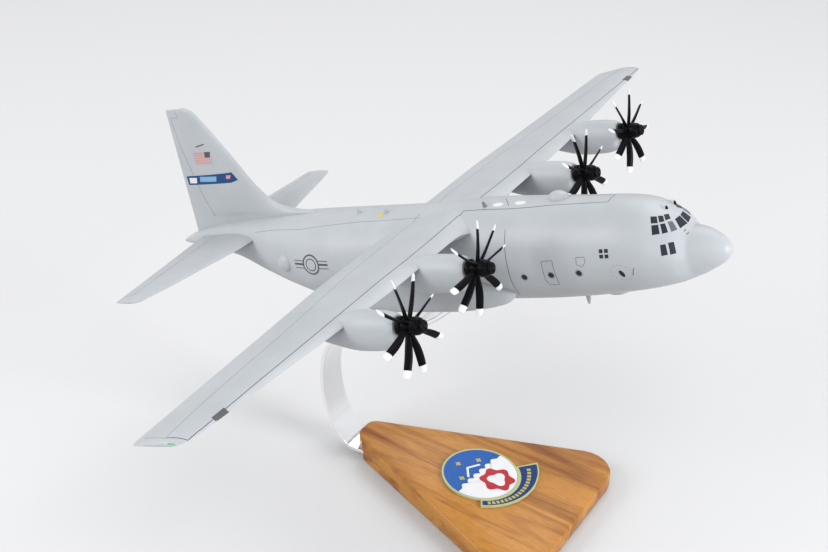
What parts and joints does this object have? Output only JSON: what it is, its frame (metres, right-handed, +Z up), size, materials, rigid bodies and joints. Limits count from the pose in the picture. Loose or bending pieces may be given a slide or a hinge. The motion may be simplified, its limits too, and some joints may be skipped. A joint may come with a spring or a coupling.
{
  "type": "desk model of a four-engined turboprop transport plane",
  "caption": "Carved and painted high-wing transport plane model with free-turning propellers, on a bent metal arm over a wooden wedge base.",
  "frame": {"origin": "on the table under the middle of the whole model's bounding box", "axes": "+X forward, towards the nose and the base's wide end; +Y to port, towards the port wing tip; +Z up"},
  "size_m": [0.4507, 0.6196, 0.2894],
  "materials": {
    "grey_paint": "satin grey paint on carved wood",
    "black_paint": "semi-gloss black, blade tips white",
    "brass": "drawn wire",
    "polished_metal": "mirror polished",
    "screw_steel": "plated",
    "varnished_wood": "clear satin varnish",
    "printed_plate": "printed in several colours, semi-gloss"
  },
  "bodies": {
    "root": {"fuselage": "grey_paint", "wing": "grey_paint", "fin": "grey_paint", "tailplane_port": "grey_paint", "tailplane_starboard": "grey_paint", "wheel_fairing_port": "grey_paint", "wheel_fairing_starboard": "grey_paint", "nacelle_1": "grey_paint", "nacelle_2": "grey_paint", "nacelle_3": "grey_paint", "nacelle_4": "grey_paint", "radar_dome": "grey_paint", "nose_dome_port": "grey_paint", "nose_dome_starboard": "grey_paint", "belly_dome": "grey_paint", "top_aerial": "grey_paint", "belly_aerial": "grey_paint", "rear_aerial_1": "grey_paint", "rear_aerial_2": "grey_paint", "rear_blister_port": "grey_paint", "rear_blister_starboard": "grey_paint", "propeller_pin_1": "brass", "propeller_pin_2": "brass", "propeller_pin_3": "brass", "propeller_pin_4": "brass", "arm": "polished_metal", "base_screw_1": "screw_steel", "base_screw_2": "screw_steel", "belly_screw_1": "screw_steel", "belly_screw_2": "screw_steel", "base": "varnished_wood", "emblem_plate": "printed_plate"},
    "prop_1": {"propeller_1": "black_paint", "spinner_1": "black_paint"},
    "prop_2": {"propeller_2": "black_paint", "spinner_2": "black_paint"},
    "prop_3": {"propeller_3": "black_paint", "spinner_3": "black_paint"},
    "prop_4": {"propeller_4": "black_paint", "spinner_4": "black_paint"}
  },
  "joints": [
    {"name": "prop_1_spin", "type": "hinge", "parent": "root", "child": "prop_1", "pos_m": [0.0851, 0.16, 0.24997], "axis": [0.9397, 0, 0.342], "continuous": true},
    {"name": "prop_2_spin", "type": "hinge", "parent": "root", "child": "prop_2", "pos_m": [0.08722, 0.0787, 0.25], "axis": [0.9397, 0, 0.342], "continuous": true},
    {"name": "prop_3_spin", "type": "hinge", "parent": "root", "child": "prop_3", "pos_m": [0.08722, -0.0787, 0.25], "axis": [0.9397, 0, 0.342], "continuous": true},
    {"name": "prop_4_spin", "type": "hinge", "parent": "root", "child": "prop_4", "pos_m": [0.0851, -0.16, 0.24997], "axis": [0.9397, 0, 0.342], "continuous": true}
  ]
}
